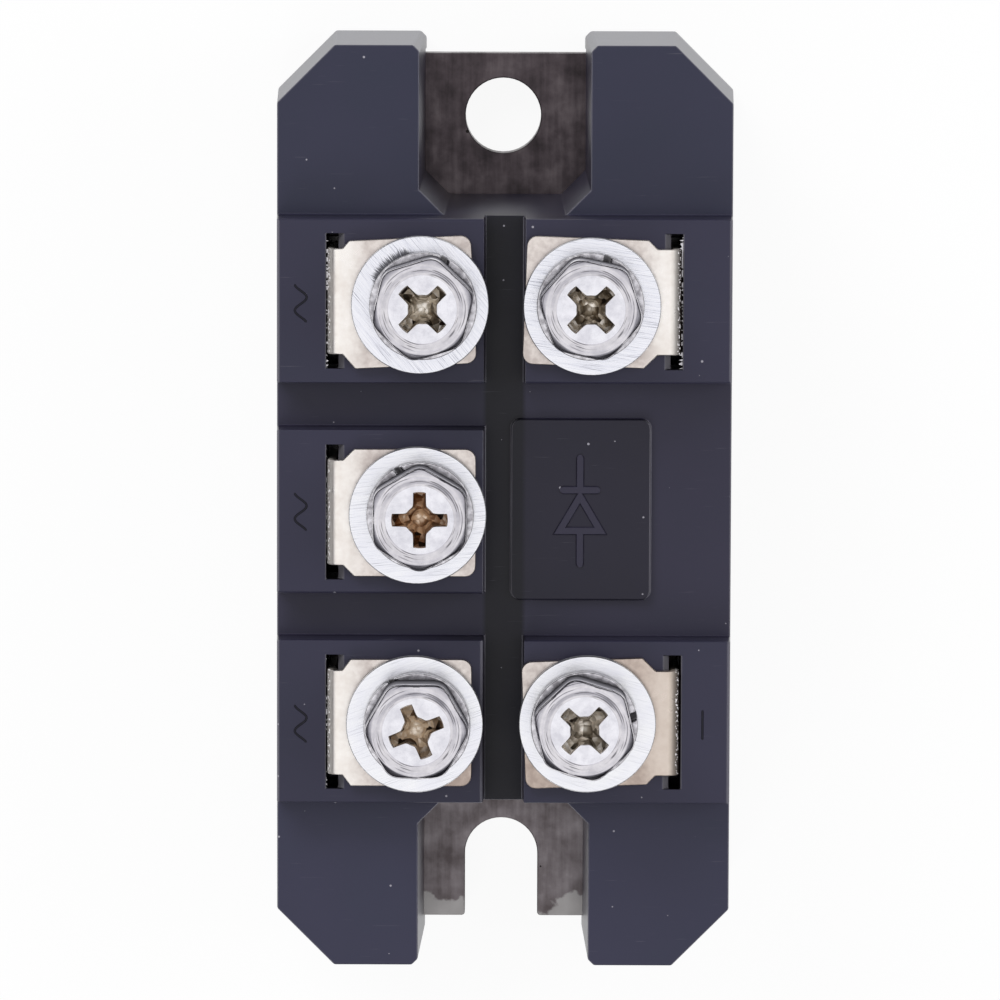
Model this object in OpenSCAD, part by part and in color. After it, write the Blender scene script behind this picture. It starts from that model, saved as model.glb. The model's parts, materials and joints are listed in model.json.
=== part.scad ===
// Three-phase bridge rectifier module: a metal base plate under a black
// moulded housing, five screw terminals on raised decks, and six diode chips
// on an insulating substrate sealed inside.
// Origin: centre of the base plate's underside. +Y runs towards the end with
// the round mounting hole, +Z is up. Millimetres.

/* [Housing] */
// Length of the housing at its foot
case_l = 80; // [78:0.5:90]
// Width of the housing at its foot
case_w = 40; // [39:0.5:46]
// Height of the gap under the housing's foot
foot_gap = 0.3; // [0.1:0.1:1]
// Height of the flat tops of the four ears
ear_h = 20.8; // [15:0.1:21]
// Height of the floor between the terminal decks
floor_h = 21.2; // [21:0.1:24]
// Rise of the terminal decks above that floor
deck_rise = 2.8; // [1.5:0.1:4]
// Wall thickness of the moulding
wall = 2.2; // [1.6:0.1:2.6]
// Wall of the bosses round the screws' ends
boss_wall = 2; // [1.4:0.1:2.2]
// Lean of the long outer walls, in degrees
side_draft = 1.6; // [0:0.1:2]
// Lean of the ears' end walls, in degrees
ear_draft = 1.2; // [0:0.1:2]
// Lean of the walls that face the two mounting notches, in degrees
end_draft = 2.3; // [0:0.1:3]
// Size of the bevel on the four outer corners
corner_cut = 5.1; // [2:0.1:6]
// Bevel down the inner corner of each ear's end
ear_break = 0.5; // [0.2:0.1:1]

/* [Notches] */
// Width of the mounting notches at the base plate
notch_w = 13.9; // [13:0.1:16]
// Lean of the notch side walls, in degrees
notch_draft = 1; // [0:0.1:2]
// Size of the bevel that fills the notch's back corners
notch_fill = 2.1; // [1:0.1:3]

/* [Terminal decks] */
// Distance between the rows of decks
row_pitch = 18; // [17:0.1:20]
// Length of one deck along the module
deck_l = 14; // [13:0.1:15]
// Width of the channel between the two columns of decks
channel_w = 3.5; // [2:0.1:4]
// Lean of the deck walls, in degrees
deck_draft = 2; // [0:0.1:4]
// Distance from a deck's outer edge to the middle of its terminal slot
slot_inset = 4.7; // [4:0.05:5.5]
// Length of a terminal slot
slot_l = 11.5; // [11.2:0.1:12.4]
// Clearance between a terminal and its slot, on each side
slot_gap = 0.1; // [0.05:0.05:0.3]

/* [Raised panel] */
// Rise of the blank panel on the right side
panel_rise = 0.6; // [0.3:0.1:1.5]
// Length of the panel across the module
panel_w = 11.9; // [8:0.1:14]
// Length of the panel along the module
panel_l = 15.5; // [10:0.1:18]
// Distance from the module's middle to the panel
panel_inset = 0.6; // [0.2:0.1:2]
// Corner radius of the panel
panel_r = 0.8; // [0.4:0.1:2]

/* [Base plate] */
// Width of the housing's rim beyond each end of the base plate
end_rim = 1.85; // [1.5:0.05:3]
// Width of the housing's rim beyond each side of the base plate
side_rim = 1.5; // [1.3:0.1:2.5]
// Thickness of the base plate
plate_t = 3; // [2:0.1:4]
// Clearance between the base plate's edge and the housing
plate_gap = 0.25; // [0.2:0.05:0.4]
// How far to the left the base plate lies in that clearance
plate_shift = 0.2; // [0:0.05:0.2]
// Diameter of the mounting hole
hole_d = 6.6; // [5.5:0.1:7]
// Distance from the housing's end to the mounting hole
hole_inset = 7.3; // [7:0.05:8.5]
// Width of the open mounting slot
u_slot_w = 6.4; // [5.5:0.1:7]
// Distance from the housing's end to the slot's round end
u_slot_inset = 7.4; // [7:0.05:8.5]
// Rounding of the slot's mouth
mouth_r = 0.3; // [0.2:0.1:1]

/* [Terminals] */
// Thickness of the terminal strip
strip_t = 0.8; // [0.6:0.1:1]
// Width of the strip where it passes through the slot
neck_w = 9; // [7:0.1:10]
// Width of the terminal's pad
pad_w = 10.9; // [10:0.1:11.1]
// Inside radius of the terminal's bend
bend_r = 0.3; // [0.2:0.1:0.6]
// Radius of the pad's free corners
pad_r = 0.9; // [0.4:0.1:1.5]
// Diameter of the pad's screw hole
pad_hole_d = 6; // [5.8:0.1:6.4]
// Clearance between a terminal's soldered foot and the nearest chip
foot_room = 1.7; // [1:0.1:3]

/* [Screws] */
// Distance from the module's middle to the screws
screw_x = 7.1; // [6.9:0.05:7.3]
// Diameter of the screw's shank
screw_d = 4.9; // [4.6:0.1:5]
// Length of the shank below the head
screw_l = 10; // [8:0.5:11]
// Width of the screw's head across its flats
head_af = 8; // [7.5:0.1:8.2]
// Height of the screw's head
head_h = 3.6; // [3:0.1:4.2]
// Diameter that the head's rounded corners reach
head_d = 8.8; // [8.4:0.1:9]
// Diameter of the shallow dish in the head's top
dish_d = 6.3; // [5.6:0.1:6.6]
// Depth of that dish
dish_depth = 0.25; // [0.1:0.05:0.5]
// Length of the cross recess, tip to tip
cross_l = 4.7; // [4:0.1:5.2]
// Width of one arm of the cross recess
cross_w = 1.05; // [0.8:0.05:1.3]
// Depth of the cross recess
cross_depth = 2.2; // [1.5:0.1:2.6]
// Diameter of the cone at the middle of the recess
cone_d = 2.4; // [1.8:0.1:3.2]
// Outer diameter of the spring washer
lock_d = 9.1; // [8.6:0.1:9.4]
// Thickness of the spring washer
lock_t = 1.3; // [1:0.1:1.6]
// Gap between the spring washer's ends
lock_split = 0.6; // [0.3:0.1:1]
// Outer diameter of the flat washer
flat_d = 11.7; // [11:0.1:12]
// Inner diameter of the flat washer
flat_id = 5.6; // [5.4:0.1:6]
// Thickness of the flat washer
flat_t = 1; // [0.8:0.1:1.4]
// Width of the captive nut across its flats
nut_af = 8; // [7.8:0.1:8.1]
// Diameter that the nut's rounded corners reach
nut_d = 9; // [8.6:0.1:9.1]
// Height of the captive nut
nut_h = 4; // [3.2:0.1:4.2]
// Clearance between a nut and its pocket, on each side
nut_play = 0.35; // [0.2:0.05:0.45]
// Turn of the nuts and of their pockets, in degrees
nut_turn = 30; // [0:15:45]
// Clearance of the threads, on each side
thread_gap = 0.1; // [0.05:0.05:0.2]

/* [Substrate and diodes] */
// Thickness of the substrate's back copper
back_t = 0.3; // [0.2:0.05:0.5]
// Thickness of the ceramic sheet
ceramic_t = 0.6; // [0.4:0.05:1]
// Thickness of the copper tracks
track_t = 0.3; // [0.2:0.05:0.5]
// Bare edge of the ceramic around the tracks
bare_edge = 0.5; // [0.3:0.1:0.8]
// Gap between neighbouring tracks
track_gap = 1; // [0.6:0.1:1.5]
// Side of a square diode chip
chip_s = 5; // [4:0.1:5.4]
// Thickness of a diode chip
chip_t = 0.4; // [0.25:0.05:0.6]
// Thickness of the copper clips and the bus
clip_t = 0.5; // [0.4:0.05:0.8]
// Width of a clip and of the bus
clip_w = 2.6; // [2:0.1:3.2]
// Length of the soldered foot of a clip
clip_foot = 2; // [1.5:0.1:2.2]
// Rise of the clips' and the bus's arches
arch_rise = 2; // [1.2:0.1:2.6]

/* [Sealing] */
// Depth of the silicone gel above the base plate
gel_depth = 6.4; // [5.6:0.1:7]
// Clearance between the epoxy and the screw bosses above it
seal_room = 1; // [0.3:0.1:3]

/* [Hidden] */
$fn = 64;
eps = 0.01;
// Longer than anything in the module
reach = 200;

// One line per terminal: its side, its row, and how far its pad is skewed
stations = [
    [-1, 1, 2.8],
    [-1, 0, 0],
    [-1, -1, 0],
    [1, 1, -2.1],
    [1, -1, 2.1]
];
terminal_names = ["terminal_ac_1", "terminal_ac_2", "terminal_ac_3", "terminal_plus", "terminal_minus"];
// Distance from the module's middle to each pad's free end
pad_tips = [2.6, 2.4, 2.7, 1.7, 1.7];
// How far before its bend each pad's full width ends
pad_backs = [1, 1.2, 0.9, 1.9, 1.9];
// Turn of each screw's cross, of its hexagon and of the washer's split
cross_turns = [45, 0, 22, 45, 47];
hex_turns = [17, 30, 0, 48, 43];
split_turns = [75, 125, 128, 80, 20];
// Where each screw lies in its nut pocket's play, and each flat washer in its own
screw_lie = [[0.6, -0.6], [0, 0], [-0.7, 0], [0.5, -0.6], [-0.6, 0.4]];
washer_lie = [[-0.9, 0], [-0.8, -0.4], [-0.7, 0], [0.5, -0.3], [0.9, -0.3]];

// Heights above the base plate's underside
deck_z = floor_h + deck_rise;
panel_z = floor_h + panel_rise;
ceiling_z = floor_h - wall;
ceramic_z = plate_t + back_t;
track_z = ceramic_z + ceramic_t;
pad_z = track_z + track_t;
chip_z = pad_z + chip_t;
arch_z = chip_z + arch_rise;
gel_z = plate_t + gel_depth;
flat_z = deck_z + strip_t;
lock_z = flat_z + flat_t;
head_z = lock_z + lock_t;
tip_z = head_z - screw_l;

// Nut pockets: the nut is drawn up against the pad, with a little room below
nut_floor_gap = 0.3;
pocket_z = deck_z - nut_h - nut_floor_gap;
relief_d = screw_d + 2 * nut_play + 0.3;
tip_room = 0.6;
boss_z = tip_z - tip_room - boss_wall / 2;
boss_d = relief_d + 2 * boss_wall;
epoxy_z = boss_z - seal_room;

// Housing outline
body_half = row_pitch + deck_l / 2 + deck_z * tan(end_draft);
deck_half_w = case_w / 2 - deck_z * tan(side_draft);
slot_x = deck_half_w - slot_inset;
slot_w = strip_t + 2 * slot_gap;
slot_lead = bend_r + strip_t / 4;

// Base plate, with a bevel on its corners that leaves an even rim round it
plate_l = case_l - 2 * end_rim;
plate_w = case_w - 2 * side_rim;
plate_cut = corner_cut - end_rim - side_rim + side_rim * sqrt(2);

// Substrate outline: it reaches past the terminals' feet
blade_out = slot_x + strip_t / 2;
neck_room = 0.2;
foot_margin = 0.2;
sub_half_w = blade_out + foot_margin + bare_edge;
sub_half_l = row_pitch + neck_w / 2 + foot_margin + bare_edge;

// Tracks: three on the left side, plus and minus on the right side
split_x = -1;
ac_edge = split_x - track_gap / 2;
plus_edge = split_x + track_gap / 2;
land_gap = 0.4;
plus_chip_x = plus_edge + 2 * land_gap + chip_s / 2;
plus_out = plus_chip_x + chip_s / 2 + 2 * land_gap;
minus_in = plus_out + track_gap;
minus_chip_x = ac_edge - land_gap - clip_foot - land_gap - chip_s / 2;
minus_top = -row_pitch / 2 + clip_w / 2 + land_gap;
foot_l = blade_out + minus_chip_x - chip_s / 2 - foot_room;
ramp = 0.9;

function unit(v) = v / norm(v);
function left_of(v) = [-v[1], v[0]];

// Direction in which the corner i of an open path is pushed out
function mitre(p, i) =
    let (a = unit(i > 0 ? p[i] - p[i - 1] : p[1] - p[0]))
    let (b = unit(i < len(p) - 1 ? p[i + 1] - p[i] : a))
    let (m = unit(left_of(a) + left_of(b)))
    m / (m * left_of(a));

// Outline of a strip of thickness t along an open path
function strip_outline(p, t) = concat(
    [for (i = [0:len(p) - 1]) p[i] + mitre(p, i) * t / 2],
    [for (i = [len(p) - 1:-1:0]) p[i] - mitre(p, i) * t / 2]
);

// Points of a quarter circle of radius r about c, from the angle a
function quarter(c, r, a) = [for (k = [0:6]) c + r * [cos(a + 15 * k), sin(a + 15 * k)]];

// Turns a point by the angle a about c
function turned(p, c, a) =
    c + [cos(a) * (p[0] - c[0]) - sin(a) * (p[1] - c[1]), sin(a) * (p[0] - c[0]) + cos(a) * (p[1] - c[1])];

function row_y(s) = stations[s][1] * row_pitch;

function screw_at(s) = [
    stations[s][0] * screw_x + screw_lie[s][0] * nut_play,
    row_y(s) + screw_lie[s][1] * nut_play
];

// All that lies behind a wall that faces the heading and leans back by lean
module behind_wall(heading, dist, lean) {
    rotate([0, 0, heading])
        translate([dist, 0, 0])
            rotate([0, -lean, 0])
                translate([-reach, -reach, -reach])
                    cube([reach, 2 * reach, 2 * reach]);
}

// A block between two heights, bounded by walls given as [heading, distance, lean]
module drafted_block(walls, z0, z1) {
    intersection() {
        translate([-reach / 2, -reach / 2, z0])
            cube([reach, reach, z1 - z0]);
        intersection_for (w = walls)
            behind_wall(w[0], w[1], w[2]);
    }
}

// A strip of width w bent in the X-Z plane along a path
module bent_strip(path, t, w) {
    rotate([90, 0, 0])
        linear_extrude(w, center = true)
            polygon(strip_outline(path, t));
}

module four_corners() {
    for (a = [0, 1], b = [0, 1])
        mirror([a, 0, 0])
            mirror([0, b, 0])
                children();
}

module at_stations() {
    for (s = [0:len(stations) - 1])
        translate([screw_at(s)[0], screw_at(s)[1], 0])
            children();
}

// A rectangle whose four corners are cut off at 45 degrees
module bevelled_plan(w, l, cut) {
    polygon([for (c = [[1, 1], [-1, 1], [-1, -1], [1, -1]], k = [0, 1])
        let (first = (c[0] * c[1] > 0) == (k == 0))
        [c[0] * (w / 2 - (first ? 0 : cut)), c[1] * (l / 2 - (first ? cut : 0))]]);
}

module rounded_plan(w, l, r) {
    square([w - 2 * r, l], center = true);
    square([w, l - 2 * r], center = true);
    for (x = [-1, 1], y = [-1, 1])
        translate([x * (w / 2 - r), y * (l / 2 - r)])
            circle(r);
}

// Slot with a round end and a rounded mouth at the plate's edge
module open_slot_plan() {
    translate([0, case_l / 2 - u_slot_inset])
        circle(d = u_slot_w);
    translate([-u_slot_w / 2, case_l / 2 - u_slot_inset])
        square([u_slot_w, reach]);
    for (a = [0, 1])
        mirror([a, 0])
            translate([u_slot_w / 2, plate_l / 2])
                difference() {
                    square(2 * mouth_r, center = true);
                    translate([mouth_r, -mouth_r])
                        circle(mouth_r);
                }
}

// Base plate: a round hole at one end, a round-ended open slot at the other
module base_plate() {
    color("#9a948c")
        translate([-plate_shift, 0, 0])
            difference() {
                linear_extrude(plate_t)
                    difference() {
                        bevelled_plan(plate_w, plate_l, plate_cut);
                        mirror([0, 1])
                            open_slot_plan();
                    }
                translate([0, case_l / 2 - hole_inset, -eps])
                    cylinder(d = hole_d, h = plate_t + 2 * eps);
            }
}

// Walls of one ear, set in by the given distance
function ear_walls(inset) = [
    [0, case_w / 2 - inset, side_draft],
    [90, case_l / 2 - inset, ear_draft],
    [45, (case_w / 2 + case_l / 2 - corner_cut) / sqrt(2) - inset, side_draft],
    [180, -notch_w / 2 - inset, notch_draft],
    [135, (case_l / 2 - notch_w / 2 - ear_break) / sqrt(2) - inset, side_draft],
    [270, -body_half + (wall - inset) / 2, -end_draft]
];

// Walls of the wedge that fills the corner between an ear and the body
function fill_walls() = [
    [135, (body_half - notch_w / 2 + notch_fill) / sqrt(2), end_draft],
    [0, notch_w / 2 + wall / 2, 0],
    [270, -body_half + wall / 2, -end_draft]
];

// Walls of the body, set in by the given distance
function body_walls(inset) = [
    [0, case_w / 2 - inset, side_draft],
    [180, case_w / 2 - inset, side_draft],
    [90, body_half - inset, end_draft],
    [270, body_half - inset, end_draft]
];

// Walls of the terminal deck on the given side and row, about the module's middle
function deck_walls(side, row) =
    let (top = deck_z * tan(deck_draft))
    [
        [0, side > 0 ? case_w / 2 : -channel_w / 2 + top, side > 0 ? side_draft : deck_draft],
        [180, side < 0 ? case_w / 2 : -channel_w / 2 + top, side < 0 ? side_draft : deck_draft],
        [90, row * row_pitch + deck_l / 2 + deck_z * tan(row > 0 ? end_draft : deck_draft),
            row > 0 ? end_draft : deck_draft],
        [270, -row * row_pitch + deck_l / 2 + deck_z * tan(row < 0 ? end_draft : deck_draft),
            row < 0 ? end_draft : deck_draft]
    ];

module housing_outside() {
    four_corners() {
        drafted_block(ear_walls(0), foot_gap, ear_h);
        drafted_block(fill_walls(), foot_gap, ear_h);
    }
    drafted_block(body_walls(0), foot_gap, floor_h);
    for (s = stations)
        drafted_block(deck_walls(s[0], s[1]), ceiling_z, deck_z);
    translate([panel_inset + panel_w / 2, 0, floor_h - wall / 2])
        linear_extrude(panel_rise + wall / 2)
            rounded_plan(panel_w, panel_l, panel_r);
}

// Hollows under the body and inside each ear, which leave an even wall
module housing_inside() {
    drafted_block(body_walls(wall), -eps, ceiling_z);
    four_corners()
        drafted_block(ear_walls(wall), -eps, ear_h - wall);
    translate([0, 0, -eps])
        linear_extrude(plate_t + eps)
            bevelled_plan(
                plate_w + 2 * plate_gap,
                plate_l + 2 * plate_gap,
                plate_cut + plate_gap * (2 - sqrt(2))
            );
}

module nut_pocket() {
    translate([0, 0, pocket_z])
        rotate([0, 0, nut_turn])
            cylinder(d = (nut_af + 2 * nut_play) / cos(30), h = reach, $fn = 6);
    translate([0, 0, tip_z - tip_room])
        cylinder(d = relief_d, h = reach);
}

// Slot through a deck, with a lead on its inner edge for the terminal's bend
module terminal_slot() {
    x0 = slot_x - slot_w / 2;
    rotate([90, 0, 0])
        linear_extrude(slot_l, center = true)
            polygon([
                [x0, ceiling_z - wall / 2],
                [x0 + slot_w, ceiling_z - wall / 2],
                [x0 + slot_w, deck_z + wall],
                [x0 - slot_lead - wall, deck_z + wall],
                [x0, deck_z - slot_lead]
            ]);
}

module housing() {
    color("#3d3c48")
        difference() {
            union() {
                difference() {
                    housing_outside();
                    housing_inside();
                }
                for (s = stations)
                    translate([s[0] * screw_x, s[1] * row_pitch, boss_z])
                        cylinder(d = boss_d, h = ceiling_z - boss_z + wall / 2);
            }
            for (s = stations)
                translate([0, s[1] * row_pitch, 0])
                    mirror([s[0] < 0 ? 1 : 0, 0, 0]) {
                        translate([screw_x, 0, 0])
                            nut_pocket();
                        terminal_slot();
                    }
        }
}

module substrate_back_copper() {
    color("#b87333")
        translate([-sub_half_w + bare_edge, -sub_half_l + bare_edge, plate_t])
            cube([2 * (sub_half_w - bare_edge), 2 * (sub_half_l - bare_edge), back_t]);
}

module ceramic_substrate() {
    color("#f2efe8")
        translate([-sub_half_w, -sub_half_l, ceramic_z])
            cube([2 * sub_half_w, 2 * sub_half_l, ceramic_t]);
}

// A track between the given corners
module track(x0, y0, x1, y1) {
    translate([x0, y0, track_z])
        cube([x1 - x0, y1 - y0, track_t]);
}

module plus_track() {
    color("#c47a45") {
        track(plus_edge, -sub_half_l + bare_edge, plus_out, sub_half_l - bare_edge);
        track(plus_edge, minus_top + track_gap, sub_half_w - bare_edge, sub_half_l - bare_edge);
    }
}

module minus_track() {
    color("#c47a45")
        track(minus_in, -sub_half_l + bare_edge, sub_half_w - bare_edge, minus_top);
}

module ac_track(row) {
    half = (row_pitch - track_gap) / 2;
    color("#c47a45")
        track(
            -sub_half_w + bare_edge,
            max(row * row_pitch - half, -sub_half_l + bare_edge),
            ac_edge,
            min(row * row_pitch + half, sub_half_l - bare_edge)
        );
}

// Diodes 1 to 3 sit on the plus track, 4 to 6 on the alternating tracks
module diode_chip(i) {
    x = i < 3 ? plus_chip_x : minus_chip_x;
    y = (1 - i % 3) * row_pitch;
    color("#4a4d55")
        translate([x - chip_s / 2, y - chip_s / 2, pad_z])
            cube([chip_s, chip_s, chip_t]);
}

// Clip from an alternating track up and over to the chip on the plus track
module ac_clip(row) {
    low = pad_z + clip_t / 2;
    on_chip = chip_z + clip_t / 2;
    x0 = ac_edge - land_gap;
    x1 = plus_chip_x - clip_foot / 2;
    color("#c98a55")
        translate([0, row * row_pitch, 0])
            bent_strip([
                [x0 - clip_foot, low],
                [x0, low],
                [x0 + ramp, arch_z],
                [x1 - ramp, arch_z],
                [x1, on_chip],
                [x1 + clip_foot, on_chip]
            ], clip_t, clip_w);
}

// Bus over the three minus-side chips, with an arm down to the minus track
module minus_bus() {
    on_chip = chip_z + clip_t / 2;
    low = pad_z + clip_t / 2;
    f = clip_foot / 2;
    along = [for (row = [-1:1], k = [-1, -0.5, 0.5, 1])
        if (abs(row + k) < 1.8)
            [row * row_pitch + sign(k) * (abs(k) < 1 ? f : f + ramp), abs(k) < 1 ? on_chip : arch_z]];
    arm_x = minus_in + land_gap + ramp;
    color("#c98a55") {
        translate([minus_chip_x, 0, 0])
            rotate([0, 0, 90])
                bent_strip(along, clip_t, clip_w);
        translate([0, -row_pitch / 2, 0])
            bent_strip([
                [minus_chip_x, arch_z],
                [arm_x - ramp, arch_z],
                [arm_x, low],
                [arm_x + clip_foot, low]
            ], clip_t, clip_w);
    }
}

// Plan of a terminal's pad, from the end of its bend to its free end
function pad_plan(s) =
    let (side = stations[s][0])
    let (c = [screw_x, 0])
    let (a = side * stations[s][2])
    let (taper = (pad_w - neck_w) / 2)
    let (h = pad_w / 2)
    let (start = blade_out - strip_t - bend_r)
    let (x0 = pad_tips[s])
    let (x1 = start - pad_backs[s])
    let (neck = min(x1 + taper, start - neck_room))
    concat(
        [[neck, -neck_w / 2], [start, -neck_w / 2], [start, neck_w / 2], [neck, neck_w / 2]],
        [for (p = concat(
            [[x1, h]],
            quarter([x0 + pad_r, h - pad_r], pad_r, 90),
            quarter([x0 + pad_r, -h + pad_r], pad_r, 180),
            [[x1, -h]]
        )) turned(p, c, a)]
    );

// Terminal: a foot on its track, a blade up through the slot, a bend and a pad
module terminal(s, tint) {
    side = stations[s][0];
    inner = blade_out - strip_t;
    color(tint)
        translate([0, row_y(s), 0])
            mirror([side < 0 ? 1 : 0, 0, 0]) {
                translate([blade_out - foot_l, -neck_w / 2, pad_z])
                    cube([foot_l, neck_w, strip_t]);
                translate([inner, -neck_w / 2, pad_z])
                    cube([strip_t, neck_w, deck_z - bend_r - pad_z + eps]);
                translate([inner - bend_r, neck_w / 2, deck_z - bend_r])
                    rotate([90, 0, 0])
                        rotate_extrude(angle = 90)
                            translate([bend_r, 0])
                                square([strip_t, neck_w]);
                translate([0, 0, deck_z])
                    difference() {
                        linear_extrude(strip_t)
                            polygon(pad_plan(s));
                        translate([screw_x, 0, -eps])
                            cylinder(d = pad_hole_d, h = strip_t + 2 * eps);
                    }
            }
}

// Everything the sealing has to flow around
module live_parts() {
    substrate_back_copper();
    ceramic_substrate();
    plus_track();
    minus_track();
    for (row = [-1:1]) {
        ac_track(row);
        ac_clip(row);
    }
    for (i = [0:5])
        diode_chip(i);
    minus_bus();
    for (s = [0:len(stations) - 1])
        terminal(s, "silver");
}

module silicone_gel() {
    color("#e3e6ea")
        difference() {
            drafted_block(body_walls(wall), plate_t, gel_z);
            live_parts();
        }
}

module epoxy_fill() {
    color("#2a2b30")
        difference() {
            drafted_block(body_walls(wall), gel_z, epoxy_z);
            for (s = [0:len(stations) - 1])
                terminal(s, "silver");
        }
}

// A hexagon with corners turned to a diameter and bevelled at one or both ends
module hexagon(af, corner_d, h, turn, both) {
    face_r = 0.925 * af / 2;
    fall = (corner_d / 2 - face_r) * tan(30);
    intersection() {
        rotate([0, 0, turn])
            cylinder(d = af / cos(30), h = h, $fn = 6);
        rotate_extrude()
            polygon(concat(
                [[0, 0]],
                both ? [[face_r, 0], [corner_d / 2, fall]] : [[corner_d / 2, 0]],
                [[corner_d / 2, h - fall], [face_r, h], [0, h]]
            ));
    }
}

module captive_nuts() {
    color("#c9ccd1")
        at_stations()
            translate([0, 0, deck_z - nut_h])
                difference() {
                    hexagon(nut_af, nut_d, nut_h, nut_turn, true);
                    translate([0, 0, -eps])
                        cylinder(d = screw_d + 2 * thread_gap, h = nut_h + 2 * eps);
                }
}

module flat_washers() {
    play = (flat_id - screw_d) / 2 - thread_gap / 2;
    color("#e4e4ea")
        for (s = [0:len(stations) - 1])
            translate([screw_at(s)[0] + washer_lie[s][0] * play, screw_at(s)[1] + washer_lie[s][1] * play, flat_z])
                difference() {
                    cylinder(d = flat_d, h = flat_t);
                    translate([0, 0, -eps])
                        cylinder(d = flat_id, h = flat_t + 2 * eps);
                }
}

// Spring washers, each split by a slanting cut
module lock_washers() {
    color("#dcdce2")
        for (s = [0:len(stations) - 1])
            translate([screw_at(s)[0], screw_at(s)[1], lock_z])
                difference() {
                    cylinder(d = lock_d, h = lock_t);
                    translate([0, 0, -eps])
                        cylinder(d = screw_d + 2 * thread_gap, h = lock_t + 2 * eps);
                    rotate([0, 0, split_turns[s]])
                        rotate([30, 0, 0])
                            translate([0, -lock_split / 2, -lock_t])
                                cube([lock_d, lock_split, 4 * lock_t]);
                }
}

// Cross recess: two crossing slots that narrow downwards in a cone
module cross_recess() {
    intersection() {
        union() {
            for (a = [0, 90])
                rotate([0, 0, a])
                    translate([-cross_l / 2, -cross_w / 2, -cross_depth])
                        cube([cross_l, cross_w, reach]);
            translate([0, 0, -cross_depth])
                cylinder(d1 = cross_w, d2 = cone_d, h = cross_depth);
        }
        translate([0, 0, -cross_depth])
            rotate_extrude()
                polygon([[0, 0], [cross_l / 2 - 0.75 * cross_depth, 0], [cross_l / 2, cross_depth],
                    [cross_l / 2, 2 * cross_depth], [0, 2 * cross_depth]]);
    }
}

// Screws: an indented hexagon head with a cross recess, and a plain shank
module terminal_screws() {
    point = 0.6;
    color("#e9e9ef")
        for (s = [0:len(stations) - 1])
            translate([screw_at(s)[0], screw_at(s)[1], head_z]) {
                difference() {
                    hexagon(head_af, head_d, head_h, hex_turns[s], false);
                    translate([0, 0, head_h - dish_depth])
                        cylinder(d1 = dish_d, d2 = dish_d + dish_depth, h = dish_depth + eps);
                    translate([0, 0, head_h - dish_depth])
                        rotate([0, 0, cross_turns[s]])
                            cross_recess();
                }
                translate([0, 0, -screw_l])
                    rotate_extrude()
                        polygon([[0, 0], [screw_d / 2 - point, 0], [screw_d / 2, point],
                            [screw_d / 2, screw_l + eps], [0, screw_l + eps]]);
            }
}

base_plate();
housing();
substrate_back_copper();
ceramic_substrate();
plus_track();
minus_track();
for (i = [0:2]) {
    ac_track(1 - i);
    ac_clip(1 - i);
}
for (i = [0:5])
    diode_chip(i);
minus_bus();
for (s = [0:4])
    terminal(s, "#ddd8d0");
silicone_gel();
epoxy_fill();
captive_nuts();
flat_washers();
lock_washers();
terminal_screws();
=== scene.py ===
import json
import math
from functools import partial
import bmesh
import bpy
import numpy as np
from mathutils import Matrix


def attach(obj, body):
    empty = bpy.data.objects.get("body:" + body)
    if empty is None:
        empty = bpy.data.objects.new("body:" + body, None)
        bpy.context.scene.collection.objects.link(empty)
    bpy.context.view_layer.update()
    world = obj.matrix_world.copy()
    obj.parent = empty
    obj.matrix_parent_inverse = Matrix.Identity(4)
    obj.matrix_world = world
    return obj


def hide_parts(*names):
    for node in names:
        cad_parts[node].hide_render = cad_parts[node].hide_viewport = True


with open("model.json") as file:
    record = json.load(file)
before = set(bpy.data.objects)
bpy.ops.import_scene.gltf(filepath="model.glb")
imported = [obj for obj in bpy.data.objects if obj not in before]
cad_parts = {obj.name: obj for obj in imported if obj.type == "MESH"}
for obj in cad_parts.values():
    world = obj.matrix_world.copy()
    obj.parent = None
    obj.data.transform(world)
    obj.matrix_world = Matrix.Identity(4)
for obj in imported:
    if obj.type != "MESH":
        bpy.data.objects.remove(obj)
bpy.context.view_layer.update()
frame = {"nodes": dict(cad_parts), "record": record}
scene = bpy.context.scene
mm = 0.001  # so 2 * mm is a length, and 2 / mm a pattern's scale with two cells to the millimetre
print("frame loaded:", len(frame["nodes"]), "nodes")

# the five terminals in the order of the record's screw mounts, with each screw's place in mm
terminalNames = ("terminal_ac_1", "terminal_ac_2", "terminal_ac_3", "terminal_plus", "terminal_minus")
mountPlaces = {mount["name"]: mount["pos_m"] for mount in frame["record"]["mounts"]}
screwPlaces = np.array([mountPlaces[name + "_screw"] for name in terminalNames]) / mm


def linearColour(hexText):
    # sRGB hex to linear red, green, blue and a full alpha
    parts = np.array([int(hexText[i:i + 2], 16) for i in (1, 3, 5)]) / 255
    flat = np.where(parts <= 0.04045, parts / 12.92, ((parts + 0.055) / 1.055) ** 2.4)
    return (*flat.tolist(), 1.0)


def metres(sizes):
    return [size * mm for size in sizes]


def connect(tree, node, inputs):
    # each input takes an output, a node's first open output, a hex colour or a plain value, and a range takes
    # the two values of its "From" and of its "To"
    for key, given in inputs.items():
        if key in ("From", "To"):
            connect(tree, node, {key + " Min": given[0], key + " Max": given[1]})
        elif isinstance(given, bpy.types.Node):
            tree.links.new(next(output for output in given.outputs if output.enabled), node.inputs[key])
        elif isinstance(given, bpy.types.NodeSocket):
            tree.links.new(given, node.inputs[key])
        else:
            node.inputs[key].default_value = linearColour(given) if isinstance(given, str) else given


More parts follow.
